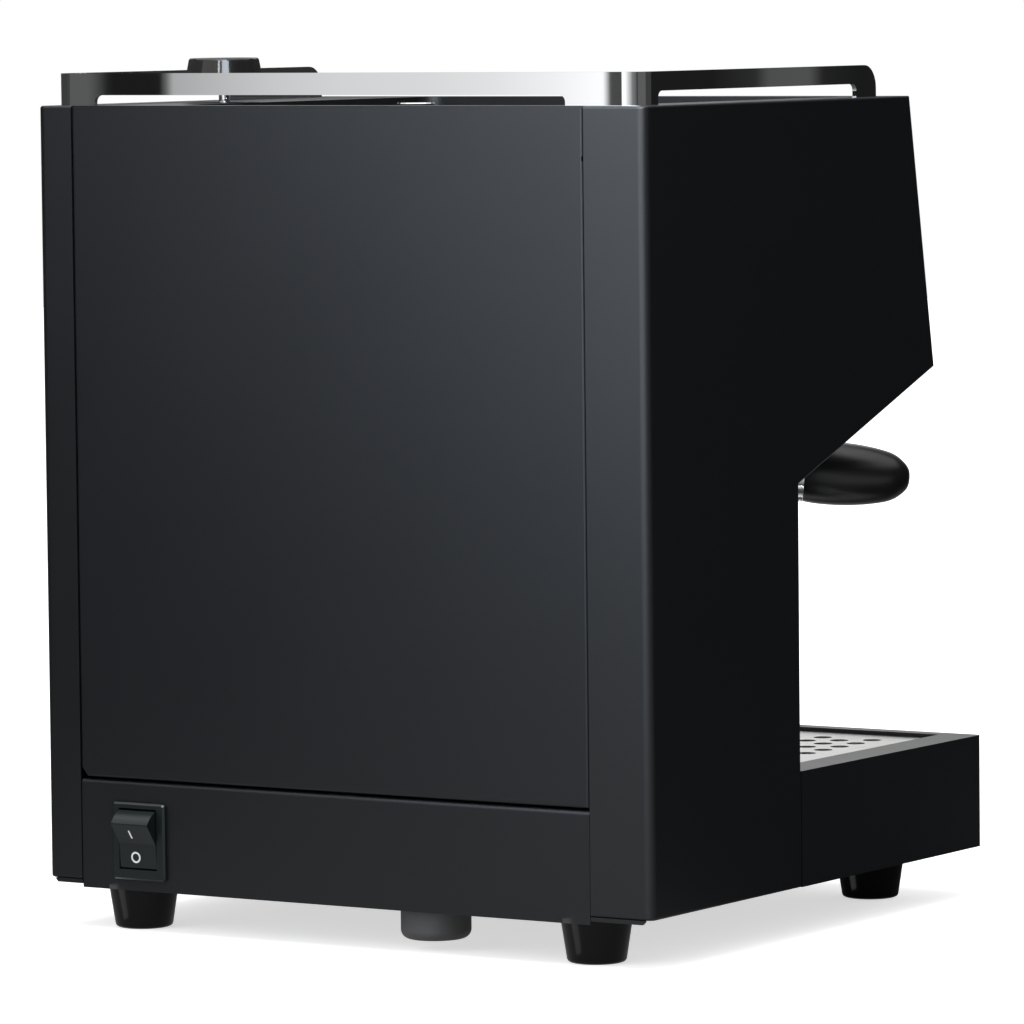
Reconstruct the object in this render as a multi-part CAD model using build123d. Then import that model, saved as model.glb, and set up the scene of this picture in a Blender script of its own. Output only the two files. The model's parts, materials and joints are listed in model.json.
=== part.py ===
from build123d import *
import os
from math import asin, atan2, cos, degrees, hypot, radians, sin, sqrt

# Single-group espresso machine with a folded-sheet body, an open base with a
# drip tray, and a bright rail round the cup shelf.
# Millimetres. +X is the machine's right as its user sees it, +Y points to the
# back, +Z up. The origin is on the table, under the middle of the outline.
# Depths are measured forwards from the back face of the body, and heights up
# from the body's lower edge, unless a name says otherwise.

# Body
body_width = 312.0
body_height = 340.0
base_depth = 287.0          # back face to the front of the drip tray box
top_depth = 224.6           # back face to the top front edge
nose_depth = 245.7          # back face to the furthest point of the head
nose_height = 219.4
throat_depth = 124.6        # back face to the upright wall behind the cups
throat_height = 174.8
base_height = 50.5          # top of the drip tray box
foot_height = 21.5          # table to the body's lower edge
sheet = 1.5
seam = 0.4                  # gap at each side of a fitted panel
corner_radius = 4.0         # outside bend between the side and the back
fold_radius = 1.2
left_back_flange = 30.5
right_back_flange = 18.3
edge_flange = 10.0
return_depth = 8.0          # width of the panels' folded returns
strip_height = 44.8         # top of the fixed strip below the back panel
strip_drop = 3.4            # the strip hangs below the side panels
flange_drop = 1.8           # and so do their back flanges, a little less
strip_roll = 2.2
strip_seam = 1.0
panel_drop = 0.8            # back panel's top edge below the deck
tab_height = 317.0          # notch in the sides of the back panel

# Power switch, seen from behind
switch_x = 106.0
switch_height = 19.7
bezel_width = 28.0
bezel_height = 34.0
bezel_proud = 2.0
window_width = 19.9
window_height = 26.9
window_lip = 1.6            # the window widens behind this lip
pit_height = 28.2
bezel_lift = -1.1           # middle of the frame above the window's
rocker_width = 19.3
rocker_tilt = 20.0          # half of the rocker's throw
rocker_ridge = (10.6, 8.6)      # along and out from the pivot
rocker_end = 88.0               # degrees from the middle to each end
rocker_valley = 5.6
rocker_pivot_depth = 3.0
axle_radius = 1.6
switch_front_depth = 12.0   # deep enough for the rocker's swing
switch_depth = 24.0

# Vents in the floor
vent_rows = 6
vent_pitch = 9.0
vent_start = 50.0           # depth of the first row

# Feet and cord gland
foot_top_radius = 16.0
foot_bottom_radius = 12.5
foot_side_inset = 38.7
foot_strip_gap = 0.2        # between a back foot and the strip
foot_front_depth = 252.8
foot_screw_radius = 2.5
gland_x = -35.0
gland_depth = 20.0
gland_radius = 15.2
gland_drop = 17.0
cord_radius = 4.0

# Cup shelf and rail
rail_height = 14.0
back_band = 9.5             # height of the band above the back slot
side_band = 8.1             # and above the side slots
rail_sheet = 2.0
rail_inset = 5.0
rail_corner = 9.5
rail_end_radius = 10.0
rail_slot_radius = 3.0
left_arm_depth = 203.0
right_arm_depth = 213.0
back_slot = (-113.7, 128.2)     # X where the back slot starts and ends
side_slot_start = 18.5          # depth where the side slots start
slot_end = {"left": 185.5, "right": 139.0}
shelf_drop = 12.0
shelf_margin = 14.0
shelf_side_margin = 24.0    # cup shelf to the left side
shelf_lid_margin = 9.0      # and to the tank's lid on the right
shelf_corner = 10.0

# Water tank
tank_half_width = 75.0
tank_back_inset = 14.0
tank_depth = 90.0
tank_wall = 2.5
tank_floor_height = 116.0
tank_corner = 12.0
tank_top_gap = 17.0         # tank rim below the top of the body
nipple_radius = 7.0
nipple_length = 8.0
lid_margin = 6.0
lid_thickness = 3.0
lid_skirt = 9.0
lid_knob_radius = 8.6
lid_knob_height = 9.2
lid_knob_depth = 65.5

# Steam valve and wand
knob_tank_gap = 40.7        # tank's side to the knob's axis
knob_depth = 86.0
knob_radius = 17.7
knob_taper = 2.2
knob_top = 19.6             # above the top of the body
knob_thickness = 12.6
spindle_radius = 2.5
pipe_gap = 9.0              # tank's side to the steam pipe's axis
wand_x = 118.0
wand_depth = 205.0
wand_radius = 4.5
wand_reach = (14.0, 18.0)   # how far the lower tube stands out and forward
wand_tip_height = 95.0
wand_nut_radius = 9.0
fit = 0.05                  # running clearance of turned fits
ease = 0.3                  # clearance of loose fits

# Drip tray box
side_rim = 17.5
front_rim = 8.0
back_rim = 12.0
grille_recess = 1.8
grille_sheet = 1.5
hole_radius = 4.2
hole_pitch = 14.75
grille_side_border = 17.0
grille_end_border = 8.0
tray_ledge = 6.0
tray_depth = 34.0
tray_wall = 1.5

# Group, on its own upright axis
group_depth = 195.0
group_bottom = 184.0
group_ring_height = 22.0
lip_height = 5.0
lug_height = 4.6
lug_sweep = 44.0
holder_radius = 33.3        # portafilter wall, outside
holder_wall = 3.0
lug_reach = 3.3             # lugs beyond the portafilter's wall
lip_gap = 0.9
lug_gap = 0.8
basket_gap = 0.5
ring_wall = 4.6             # group's ring round the lugs
neck_step = 10.0
holder_bottom = 151.0
holder_top = 195.7
basket_wall = 0.8
basket_depth = 24.0
gasket_thickness = 7.0
spout_bottom = 118.0
spout_spread = 13.0

# Portafilter handle
handle_rest_angle = 57.5    # from straight forward towards the left
handle_slope = 4.3          # tip lower than root, degrees
handle_height = 170.2       # axis height at the ring's outer end
ring_reach = 102.1          # group axis to the ring's outer end
ring_width = 3.0
grip_root = 54.0
handle_reach = 149.9

# Boiler and pump
boiler_depth = 182.0
boiler_radius = 42.0
boiler_height = 70.0
boiler_flange = 6.0
bolt_edge = 4.0             # bolts outside the group's ring, and inside the flange
bolt_radius = 2.2
bolt_head_radius = 3.8
bracket_height = 222.0      # top of the boiler bracket
bulkhead_depth = 110.0
pump_x = -112.0
pump_height = 46.0
pump_radius = 14.0
pump_depth = 60.0
pump_length = 84.0

# Front panel fittings, in the panel's own plane
button_xs = {"brew_button": 62.0, "steam_button": 94.0, "water_button": 126.0}
button_up = 14.0
button_radius = 9.2
button_travel = 3.0
bezel_radius = 12.5
lamp_drop = 30.0
lamp_radius = 3.5
gauge_x = -95.0
gauge_up = 4.0
gauge_radius = 26.0
gauge_depth = 20.0

# Levels and lines that follow from them
pivot_radius = hypot(*rocker_ridge)
ridge_angle = atan2(rocker_ridge[0], rocker_ridge[1]) + radians(rocker_tilt)
rocker_proud = pivot_radius * cos(ridge_angle - 2 * radians(rocker_tilt)) - rocker_pivot_depth
back_y = (base_depth - rocker_proud) / 2
body_z = foot_height
top_z = body_z + body_height
base_z = body_z + base_height
half = body_width / 2
foot_back_inset = foot_top_radius + foot_strip_gap + sheet + ease
shelf_left = -half + shelf_side_margin
shelf_right = tank_half_width + lid_margin + shelf_lid_margin
knob_x = tank_half_width + knob_tank_gap
pipe_x = tank_half_width + pipe_gap
basket_radius = holder_radius - holder_wall - basket_gap
lip_radius = holder_radius + lip_gap
lug_radius = holder_radius + lug_reach
cavity_radius = lug_radius + lug_gap
group_radius = cavity_radius + ring_wall
neck_radius = group_radius - neck_step
bolt_circle = group_radius + bolt_edge
boiler_flange_radius = bolt_circle + bolt_edge


def at(depth):
    """Y of a place that lies this far forward of the back face."""
    return back_y - depth


def up(height):
    """Z of a place that lies this far above the body's lower edge."""
    return body_z + height


side_outline = [
    (at(0), up(0)),
    (at(0), top_z),
    (at(top_depth), top_z),
    (at(nose_depth), up(nose_height)),
    (at(throat_depth), up(throat_height)),
    (at(throat_depth), up(0)),
]
slope = (nose_height - throat_height) / (nose_depth - throat_depth)


def block(x, y, z):
    """Box between the two values of each pair."""
    middle = Pos((x[0] + x[1]) / 2, (y[0] + y[1]) / 2, (z[0] + z[1]) / 2)
    return middle * Box(x[1] - x[0], y[1] - y[0], z[1] - z[0])


def rounded_block(x, y, z, radius):
    """Upright box with rounded upright edges."""
    plan = RectangleRounded(x[1] - x[0], y[1] - y[0], radius)
    return Pos((x[0] + x[1]) / 2, (y[0] + y[1]) / 2, z[0]) * extrude(plan, amount=z[1] - z[0])


def rod(x, y, z, radius):
    """Upright cylinder between the two heights in z."""
    return Pos(x, y, (z[0] + z[1]) / 2) * Cylinder(radius, z[1] - z[0])


def turned(outline):
    """Solid turned about the Z axis from (radius, height) points."""
    face = make_face(Polyline([(r, 0, h) for r, h in outline], close=True))
    return revolve(face, Axis.Z)


def prism_x(outline, x):
    """Prism along X between two values, with its outline as (y, z) points."""
    face = make_face(Polyline([(x[0], y, z) for y, z in outline], close=True))
    return extrude(face, amount=x[1] - x[0], dir=(1, 0, 0))


def prism_y(outline, y):
    """Prism along Y between two values, with its outline as (x, z) points."""
    face = make_face(Polyline([(x, y[0], z) for x, z in outline], close=True))
    return extrude(face, amount=y[1] - y[0], dir=(0, 1, 0))


def inset(outline, gap):
    """Anticlockwise outline with every side moved inwards by gap."""
    moved = []
    count = len(outline)
    for i in range(count):
        before, corner, after = outline[i - 1], outline[i], outline[(i + 1) % count]
        a = (corner[0] - before[0], corner[1] - before[1])
        b = (after[0] - corner[0], after[1] - corner[1])
        a_length, b_length = hypot(*a), hypot(*b)
        a_normal = (-a[1] / a_length, a[0] / a_length)
        b_normal = (-b[1] / b_length, b[0] / b_length)
        share = gap / (1 + a_normal[0] * b_normal[0] + a_normal[1] * b_normal[1])
        moved.append((corner[0] + share * (a_normal[0] + b_normal[0]),
                      corner[1] + share * (a_normal[1] + b_normal[1])))
    return moved


def pipe(points, bend, radius):
    """Round bar or pipe along straight runs joined by arcs."""
    path = FilletPolyline(*points, radius=bend)
    section = Plane(origin=path @ 0, z_dir=path % 0) * Circle(radius)
    return sweep(section, path=path)


def upright_edges(solid, x, y):
    """Upright edges at one plan position."""
    found = solid.edges().filter_by(Axis.Z)
    return found.filter_by(lambda e: abs(e.center().X - x) < 0.01 and abs(e.center().Y - y) < 0.01)


# ---------------------------------------------------------------- body shell
def side_panel(back_flange):
    """Left-hand panel: one sheet folded in along every edge."""
    outside = -half
    shell = prism_x(side_outline, (outside, outside + back_flange))
    hollow = prism_x(inset(side_outline, sheet), (outside + sheet, outside + back_flange + 1))
    trim = block((outside + edge_flange, outside + back_flange + 1),
                 (at(nose_depth), at(sheet)), (body_z - 1, top_z + 1))
    # The floor of the chassis passes through the return behind the cups.
    notch = block((outside + sheet, outside + edge_flange), (at(throat_depth), at(throat_depth - sheet)),
                  (up(sheet), up(2 * sheet)))
    shell -= hollow + trim + notch
    shell = fillet(upright_edges(shell, outside, at(0)), corner_radius)
    shell = fillet(upright_edges(shell, outside + sheet, at(sheet)), corner_radius - sheet)
    rim = shell.faces().sort_by(Axis.X)[0].edges()
    folds = rim.filter_by(lambda e: e.center().Y < at(corner_radius + 1))
    shell = fillet(folds, fold_radius)
    hem = block((outside + corner_radius, outside + back_flange), (at(sheet), at(0)),
                (up(-flange_drop), up(0)))
    outer_corner = hem.edges().filter_by(Axis.Y).sort_by(lambda e: e.center().X + e.center().Z)[0]
    return shell + chamfer(outer_corner, 1.2)


def base_pan():
    """Floor of the chassis with the strip that closes the back at the bottom."""
    left = -half + left_back_flange + seam
    right = half - right_back_flange - seam
    face = at(ease)
    floor = block((-half + sheet + seam, half - sheet - seam),
                  (at(base_depth - sheet - seam), face - sheet), (up(sheet), up(2 * sheet)))
    floor = chamfer(floor.edges().filter_by(Axis.Z), 3.0)
    strip = block((left, right), (face - sheet, face), (up(-strip_drop), up(strip_height)))
    lip = block((left, right), (face - return_depth, face), (up(strip_height - sheet), up(strip_height)))
    strip += lip
    top_edge = strip.edges().filter_by(Axis.X).sort_by(lambda e: e.center().Z + e.center().Y)[-1]
    strip = fillet(top_edge, strip_roll)
    pan = floor + strip
    pan -= switch_cutter()
    pan -= rod(gland_x, at(gland_depth), (up(0), up(4 * sheet)), gland_neck + ease)
    for x, y in foot_places.values():
        pan -= rod(x, y, (up(0), up(4 * sheet)), foot_screw_radius + fit)
    vent = Pos(0, 0, up(sheet)) * extrude(SlotOverall(46, 3.5), amount=2 * sheet, both=True)
    for x in (-30, 30):
        for row in range(vent_rows):
            pan -= Pos(x, at(vent_start + vent_pitch * row), 0) * vent
    return pan


def rear_panel():
    """Lift-off back panel with returns at its sides and lower edge."""
    left = -half + left_back_flange + seam
    right = half - right_back_flange - seam
    bottom = up(strip_height + strip_seam)
    top = top_z - panel_drop
    outline = [(left, bottom), (right - 3, bottom), (right, bottom + 4), (right, top), (left, top)]
    panel = prism_y(outline, (at(return_depth), at(0)))
    face = panel.faces().sort_by(Axis.Y)[-1]
    panel = fillet(face.edges().filter_by(lambda e: e.center().Z < top - 1), fold_radius)
    hollow = prism_y(inset(outline, sheet), (at(return_depth) - 1, at(sheet)))
    panel -= hollow + Pos(0, 0, 2 * sheet) * hollow
    panel -= block((left - 1, right + 1), (at(return_depth) - 1, at(sheet)), (top - 3 * sheet, top + 1))
    for x in (left, right):
        panel -= block((x - 0.7, x + 0.7), (at(return_depth) - 1, at(0) + 1),
                       (up(tab_height), up(tab_height + 2)))
    return panel


# The front panel lies in a plane just inside the side panels' front returns.
front_tilt = degrees(atan2(nose_depth - top_depth, body_height - nose_height))
front_length = hypot(nose_depth - top_depth, body_height - nose_height)
front_out = Vector(0, -cos(radians(front_tilt)), sin(radians(front_tilt)))
front_middle = Vector(0, at((nose_depth + top_depth) / 2), up((body_height + nose_height) / 2))
front_plane = Plane(origin=front_middle - front_out * sheet, x_dir=(1, 0, 0), z_dir=front_out)


def on_front(x, along, solid):
    """Places a solid made about the Z axis on the front panel."""
    return front_plane * (Pos(x, along, 0) * solid)


def front_fascia():
    """Sloping front panel with holes for the gauge, buttons and lamps."""
    wide = half - sheet - seam
    tall = front_length / 2 - 2 * sheet
    panel = block((-wide, wide), (-tall, tall), (-sheet, 0))
    panel += block((-wide, wide), (tall - sheet, tall), (-return_depth, 0))
    panel += block((-wide, wide), (-tall, sheet - tall), (-return_depth, 0))
    for x in button_xs.values():
        panel -= Pos(x, button_up, 0) * Cylinder(bezel_radius - 0.8, 3 * sheet)
        panel -= Pos(x, button_up - lamp_drop, 0) * Cylinder(lamp_radius + fit, 3 * sheet)
    panel -= Pos(gauge_x, gauge_up, 0) * Cylinder(gauge_radius + fit, 3 * sheet)
    return front_plane * panel


def underside_panel():
    """Sloping sheet that closes the head around the group."""
    inner = sheet / cos(atan2(slope, 1))
    start, end = throat_depth + 0.5, nose_depth - 5.0
    low = throat_height + inner + slope * (start - throat_depth)
    high = throat_height + inner + slope * (end - throat_depth)
    outline = [(at(start), up(low)), (at(start), up(low + inner)),
               (at(end), up(high + inner)), (at(end), up(high))]
    panel = prism_x(outline, (-half + sheet + seam, half - sheet - seam))
    panel -= rod(0, at(group_depth), (up(throat_height), up(body_height)), group_radius + 1)
    panel -= rod(wand_x, at(wand_depth), (up(throat_height), up(body_height)), wand_nut_radius + ease)
    return panel


def splash_panel():
    """Upright sheet behind the cups."""
    wide = half - sheet - seam
    return block((-wide, wide), (at(throat_depth - sheet), at(throat_depth - 2 * sheet)),
                 (base_z, up(throat_height + sheet)))


# ------------------------------------------------------------- cup shelf, rail
tank_y = (at(tank_back_inset + tank_depth), at(tank_back_inset))
shelf_y = (at(top_depth - shelf_margin), at(tank_back_inset - 2))
shelf_z = top_z - shelf_drop


def top_tray():
    """Cup shelf: a rim level with the sides and a sunken floor with slots."""
    rim = block((-half + edge_flange + ease, half - edge_flange - ease),
                (at(top_depth - 0.6), at(sheet + ease)), (top_z - sheet, top_z))
    ledge = block((-half + sheet + seam, half - sheet - seam),
                  (at(top_depth - 2 * sheet - 1), at(corner_radius + 0.5)),
                  (top_z - 2 * sheet, top_z - sheet))
    cup_area = (shelf_left, shelf_right)
    tray = rim + ledge
    tray += rounded_block((cup_area[0] - sheet, cup_area[1] + sheet),
                          (shelf_y[0] - sheet, shelf_y[1] + sheet),
                          (shelf_z - sheet, top_z - sheet), shelf_corner + sheet)
    tray -= rounded_block(cup_area, shelf_y, (shelf_z, top_z + 1), shelf_corner)
    gap = 2.0
    tray -= rounded_block((-tank_half_width - gap, tank_half_width + gap), (tank_y[0] - gap, tank_y[1]),
                          (shelf_z - 2 * sheet, shelf_z + 1), tank_corner)
    slot = Pos(0, 0, shelf_z - sheet / 2) * extrude(SlotOverall(44, 4), amount=2 * sheet, both=True)
    for column in (-81, -21, 39):
        for row in range(5):
            tray -= Pos(column, shelf_y[0] + 18 + 16 * row, 0) * slot
    tray -= rod(knob_x, at(knob_depth), (top_z - 4 * sheet, top_z + 1), spindle_radius + 1)
    return tray


def cup_rail():
    """Band bent round the back and sides, standing on solid ends."""
    side = half - rail_inset
    z = (top_z, top_z + rail_height)
    far = at(base_depth)
    rail = rounded_block((-side, side), (far, at(rail_inset)), z, rail_corner)
    rail -= rounded_block((-side + rail_sheet, side - rail_sheet),
                          (far + rail_sheet, at(rail_inset + rail_sheet)),
                          (z[0] - 1, z[1] + 1), rail_corner - rail_sheet)
    back = block(back_slot, (at(rail_inset + 2 * rail_sheet), at(0)), (z[0] - 1, z[1] - back_band))
    back = fillet(back.edges().filter_by(Axis.Y).group_by(Axis.Z)[-1], rail_slot_radius)
    rail -= back
    for x, arm, end in (((-half, 0), left_arm_depth, slot_end["left"]),
                        ((0, half), right_arm_depth, slot_end["right"])):
        slot = block(x, (at(end), at(side_slot_start)), (z[0] - 1, z[1] - side_band))
        slot = fillet(slot.edges().filter_by(Axis.X).group_by(Axis.Z)[-1], rail_slot_radius)
        rail -= slot + block(x, (far - 1, at(arm)), (z[0] - 1, z[1] + 1))
    ends = [e for e in rail.edges().filter_by(Axis.X).group_by(Axis.Z)[-1]
            if e.center().Y < at(left_arm_depth - 1)]
    return fillet(ends, rail_end_radius)


# ----------------------------------------------------------------- water tank
tank_floor = up(tank_floor_height)
tank_top = top_z - tank_top_gap
tank_shelf_z = tank_floor - nipple_length + 2


def water_tank():
    """Open tank with a nipple that plugs into the seat under it."""
    x = (-tank_half_width, tank_half_width)
    tank = rounded_block(x, tank_y, (tank_floor, tank_top), tank_corner)
    tank -= rounded_block((x[0] + tank_wall, x[1] - tank_wall),
                          (tank_y[0] + tank_wall, tank_y[1] - tank_wall),
                          (tank_floor + tank_wall, tank_top + 1), tank_corner - tank_wall)
    middle = (tank_y[0] + tank_y[1]) / 2
    tank += rod(0, middle, (tank_floor - nipple_length, tank_floor), nipple_radius)
    tank -= rod(0, middle, (tank_floor - nipple_length - 1, tank_floor + 2 * tank_wall), nipple_radius - 3)
    return tank


def tank_valve_seat():
    """Ring on the tank's shelf that takes the nipple, with a hose tail."""
    outline = [(nipple_radius + ease, tank_floor), (nipple_radius + 6, tank_floor),
               (nipple_radius + 6, tank_shelf_z), (nipple_radius + 1, tank_shelf_z),
               (nipple_radius + 1, tank_floor - nipple_length - 3), (3, tank_floor - nipple_length - 3),
               (3, tank_floor - nipple_length - ease),
               (nipple_radius + ease, tank_floor - nipple_length - ease)]
    return Pos(0, (tank_y[0] + tank_y[1]) / 2, 0) * turned(outline)


def tank_lid():
    """Lid on the shelf, with a skirt that drops into the tank's mouth."""
    y = (tank_y[0] - lid_margin, tank_y[1] + 1)
    lid = rounded_block((-tank_half_width - lid_margin, tank_half_width + lid_margin), y,
                        (shelf_z, shelf_z + lid_thickness), shelf_corner)
    lid = fillet(lid.faces().sort_by(Axis.Z)[-1].edges(), 1.0)
    mouth = tank_half_width - tank_wall - 0.8
    skirt_y = (tank_y[0] + tank_wall + 0.8, tank_y[1] - tank_wall - 0.8)
    skirt = rounded_block((-mouth, mouth), skirt_y, (shelf_z - lid_skirt, shelf_z), tank_corner - tank_wall)
    skirt -= rounded_block((-mouth + sheet, mouth - sheet), (skirt_y[0] + sheet, skirt_y[1] - sheet),
                           (shelf_z - lid_skirt - 1, shelf_z), tank_corner - tank_wall - sheet)
    return lid + skirt


def tank_lid_knob():
    """Flat-topped knob of the tank lid, with a waist to hold it by."""
    low = shelf_z + lid_thickness
    high = low + lid_knob_height
    rim, waist = lid_knob_radius, lid_knob_radius - 2.6
    knob = turned([(0, low), (waist + 1, low), (waist, low + 1.5), (waist, high - 2.6), (rim - 0.6, high - 1.8),
                   (rim, high - 1.2), (rim, high - 0.5), (rim - 0.5, high), (0, high)])
    return Pos(0, at(lid_knob_depth), 0) * knob


# --------------------------------------------------------- feet, gland, switch
foot_x = half - foot_side_inset
foot_places = {
    "foot_back_left": (-foot_x, at(foot_back_inset)),
    "foot_back_right": (foot_x, at(foot_back_inset)),
    "foot_front_left": (-foot_x, at(foot_front_depth)),
    "foot_front_right": (foot_x, at(foot_front_depth)),
}
gland_neck = gland_radius - 5.0
foot_bore_z = foot_height / 2


def foot(place):
    """Tapered moulded foot with a screw well."""
    well = foot_screw_radius + 3.0
    body = turned([(0, 0), (foot_bottom_radius, 0), (foot_top_radius, up(sheet)), (0, up(sheet))])
    body = fillet(body.faces().sort_by(Axis.Z)[0].edges(), 2.0)
    body -= rod(0, 0, (-1, foot_bore_z), well)
    body -= rod(0, 0, (0, up(2 * sheet)), foot_screw_radius + fit)
    return Pos(*place, 0) * body


def foot_screws():
    """Four screws with nuts, one up through each foot and the floor."""
    screws = []
    head = foot_screw_radius + 2.4
    for x, y in foot_places.values():
        screw = rod(x, y, (foot_bore_z - 3, foot_bore_z), head)
        screw += rod(x, y, (foot_bore_z, up(2 * sheet) + 5), foot_screw_radius)
        screw += rod(x, y, (up(2 * sheet), up(2 * sheet) + 4), head)
        screws.append(screw)
    return screws


def cord_gland():
    """Gland under the floor where the cord would enter."""
    y = at(gland_depth)
    gland = rod(gland_x, y, (up(-gland_drop), up(sheet)), gland_radius)
    gland = fillet(gland.faces().sort_by(Axis.Z)[0].edges(), 4.0)
    gland += rod(gland_x, y, (up(sheet), up(2 * sheet)), gland_neck)
    gland += Pos(gland_x, y, up(2 * sheet)) * extrude(RegularPolygon(gland_radius - 1, 6), amount=5)
    gland -= rod(gland_x, y, (up(-gland_drop) - 1, up(-gland_drop) + 14), cord_radius)
    return gland


pivot = (at(0) - rocker_pivot_depth, up(switch_height))


def switch_cutter():
    """Opening in the strip for the body of the switch."""
    x = (switch_x - window_width / 2 - 1.4, switch_x + window_width / 2 + 1.4)
    z = (up(switch_height) - pit_height / 2 - 1.1, up(switch_height) + pit_height / 2 + 1.1)
    return block(x, (at(switch_front_depth + 1), at(-1)), z)


def switch_bezel():
    """Frame and body of the power switch, with a pit for the rocker."""

    def around(wide, tall, y, lift=0.0):
        middle = up(switch_height) + lift
        return block((switch_x - wide / 2, switch_x + wide / 2), y, (middle - tall / 2, middle + tall / 2))

    frame = around(bezel_width, bezel_height, (at(ease), at(-bezel_proud)), bezel_lift)
    frame = fillet(frame.edges().filter_by(Axis.Y), 1.5)
    frame = chamfer(frame.faces().sort_by(Axis.Y)[-1].edges(), 0.8)
    body = around(window_width + 2.4, pit_height + 1.8, (at(switch_front_depth), at(ease)))
    body += around(window_width + 2.4, 20, (at(switch_depth), at(switch_front_depth)))
    window = around(window_width, window_height, (at(0), at(-bezel_proud - 1)))
    pit = around(window_width, pit_height, (at(switch_front_depth - 1.2), at(window_lip - bezel_proud)))
    pit += around(window_width, 12, (at(switch_depth - 2), at(0)))
    pins = [Pos(0, 0, z) * around(window_width - 8, 1.0, (at(switch_depth + 8), at(switch_depth)))
            for z in (-7, 0, 7)]
    axle = Pos(switch_x, *pivot) * Rot(Y=90) * Cylinder(axle_radius + fit, window_width + 1.7)
    return frame + body - window - pit - axle + pins


def power_rocker():
    """Rocker with a shallow valley and ends curved about its pivot, lower half pressed in."""
    along, out = rocker_ridge
    r = pivot_radius
    ridge = degrees(atan2(along, out))

    def on_swing(turn):
        return (0, r * cos(radians(turn)), r * sin(radians(turn)))

    upper = [Line((0, rocker_valley, 0), (0, out, along)),
             ThreePointArc(on_swing(ridge), on_swing((ridge + rocker_end) / 2), on_swing(rocker_end)),
             Line(on_swing(rocker_end), (0, -3, 4)), Line((0, -3, 4), (0, -3, 0))]
    half_face = make_face([*upper, Line((0, -3, 0), (0, rocker_valley, 0))])
    rocker = extrude(half_face, amount=rocker_width / 2, dir=(1, 0, 0), both=True)
    rocker += mirror(rocker, about=Plane.XY)
    ridges = rocker.edges().filter_by(Axis.X).filter_by(lambda e: e.center().Y > out - 0.1)
    rocker = fillet(ridges, 0.7)
    rocker += Rot(Y=90) * Cylinder(axle_radius, window_width + 1.6)
    rocker = Rot(X=-rocker_tilt) * rocker
    return Pos(switch_x, *pivot) * rocker


# --------------------------------------------------------------- drip tray box
opening_x = (-half + side_rim, half - side_rim)
opening_y = (at(base_depth - front_rim), at(throat_depth + back_rim))
grille_z = base_z - grille_recess
ledge_z = grille_z - grille_sheet - tray_wall


def drip_tray_box():
    """Open box with a folded rim and a ledge that carries the tray."""
    front = at(base_depth)
    rear = at(throat_depth + ease)
    box = block((-half, half), (front, rear), (up(0), base_z))
    box -= block((-half + sheet, half - sheet), (front + sheet, rear + 1), (up(-1), base_z - sheet))
    box = fillet(box.edges().filter_by(Axis.Z).group_by(Axis.Y)[0], 2.0)
    lip_x = (opening_x[0] - sheet, opening_x[1] + sheet)
    lip_y = (opening_y[0] - sheet, opening_y[1] + sheet)
    box += block(lip_x, lip_y, (ledge_z - sheet, base_z))
    box += block((-half + edge_flange, half - edge_flange), (rear, at(throat_depth - 3 * sheet)),
                 (base_z - sheet, base_z))
    box -= block((opening_x[0] + tray_ledge, opening_x[1] - tray_ledge),
                 (opening_y[0] + tray_ledge, opening_y[1] - tray_ledge), (up(0), base_z + 1))
    box -= block(opening_x, opening_y, (ledge_z, base_z + 1))
    return box


def drip_tray():
    """Basin hung by its flange on the ledge."""
    room = 0.5
    flange = block((opening_x[0] + room, opening_x[1] - room), (opening_y[0] + room, opening_y[1] - room),
                   (ledge_z, ledge_z + tray_wall))
    hang = tray_ledge + room
    basin_x = (opening_x[0] + hang, opening_x[1] - hang)
    basin_y = (opening_y[0] + hang, opening_y[1] - hang)
    basin_z = (ledge_z - tray_depth, ledge_z + tray_wall)
    basin = rounded_block(basin_x, basin_y, basin_z, 10.0)
    basin = fillet(basin.faces().sort_by(Axis.Z)[0].edges(), 4.0)
    inner = rounded_block((basin_x[0] + tray_wall, basin_x[1] - tray_wall),
                          (basin_y[0] + tray_wall, basin_y[1] - tray_wall),
                          (basin_z[0] + tray_wall, basin_z[1] + 1), 10.0 - tray_wall)
    inner = fillet(inner.faces().sort_by(Axis.Z)[0].edges(), 4.0 - tray_wall)
    return flange + basin - inner


def drip_grille():
    """Perforated plate; the holes stand in staggered columns."""
    room = 0.5
    x = (opening_x[0] + room, opening_x[1] - room)
    y = (opening_y[0] + room, opening_y[1] - room)
    plate = rounded_block(x, y, (grille_z - grille_sheet, grille_z), 2.0)
    column_gap = hole_pitch * sqrt(3) / 2
    field_x = x[1] - grille_side_border - hole_radius
    columns = int(field_x / column_gap)
    field_y = (y[1] - y[0]) / 2 - grille_end_border - hole_radius
    holes = []
    for column in range(-columns, columns + 1):
        shift = hole_pitch / 2 * (column % 2)
        rows = int((field_y + shift) / hole_pitch)
        for row in range(-rows, rows + 1):
            along = row * hole_pitch + shift
            if abs(along) <= field_y:
                holes.append(Pos(column * column_gap, along) * Circle(hole_radius))
    cutter = extrude(Sketch() + holes, amount=3 * grille_sheet)
    return plate - Pos(0, (y[0] + y[1]) / 2, grille_z - 2 * grille_sheet) * cutter


# ------------------------------------------------------------------ the group
group = Pos(0, at(group_depth), 0)
ring_top = up(group_bottom + group_ring_height)
gasket_z = up(holder_top) + 1.0 + ease


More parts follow.
